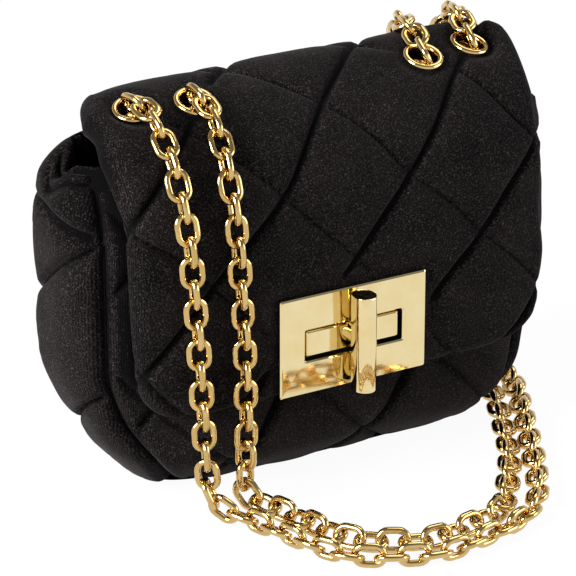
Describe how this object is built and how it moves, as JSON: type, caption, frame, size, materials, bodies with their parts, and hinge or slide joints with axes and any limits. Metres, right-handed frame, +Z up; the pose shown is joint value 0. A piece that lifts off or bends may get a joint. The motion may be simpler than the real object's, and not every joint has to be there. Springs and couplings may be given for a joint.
{
  "type": "crossbody purse",
  "caption": "Small quilted velvet flap purse with a turn lock, metal eyelets and a looped chain strap worn across the body.",
  "frame": {"origin": "centre of the flat base, on the surface that the bag stands on", "axes": "+Z up, -Y towards the front with the lock, +X to the right as seen from the front"},
  "size_m": [0.1795, 0.1578, 0.1433],
  "materials": {
    "velvet": "black ribbed velvet over soft padding, diamond quilted",
    "lining": "smooth black woven lining",
    "board": "plain stiffener sheet",
    "gold": "polished pale gold plating",
    "steel": "plain plated inner hardware"
  },
  "bodies": {
    "bag": {"front_panel": "velvet", "back_panel": "velvet", "left_gusset": "velvet", "right_gusset": "velvet", "base_panel": "velvet", "flap_rear_strip": "velvet", "bag_lining": "lining", "base_board": "board", "lock_boss": "gold", "lock_back_plate": "steel", "chain_outer": "gold", "chain_inner": "gold"},
    "turn_bar": {"turn_bar": "gold", "turn_clip": "steel"},
    "flap": {"flap_pad": "velvet", "flap_lining": "lining", "lock_plate": "gold", "lock_frame": "steel", "eyelet_left_outer": "gold", "eyelet_left_inner": "gold", "eyelet_right_inner": "gold", "eyelet_right_outer": "gold", "eyelet_washer_left_outer": "gold", "eyelet_washer_left_inner": "gold", "eyelet_washer_right_inner": "gold", "eyelet_washer_right_outer": "gold", "chain_turn_left": "gold", "chain_turn_right": "gold"}
  },
  "joints": [
    {"name": "turn_lock", "type": "hinge", "parent": "bag", "child": "turn_bar", "pos_m": [0, -0.0368, 0.052], "axis": [0, -1, 0], "range_deg": [0, 90]},
    {"name": "flap_hinge", "type": "hinge", "parent": "bag", "child": "flap", "pos_m": [0, 0.012, 0.13427], "axis": [-1, 0, 0], "range_deg": [0, 110], "deforming": ["chain_outer", "chain_inner"]}
  ]
}
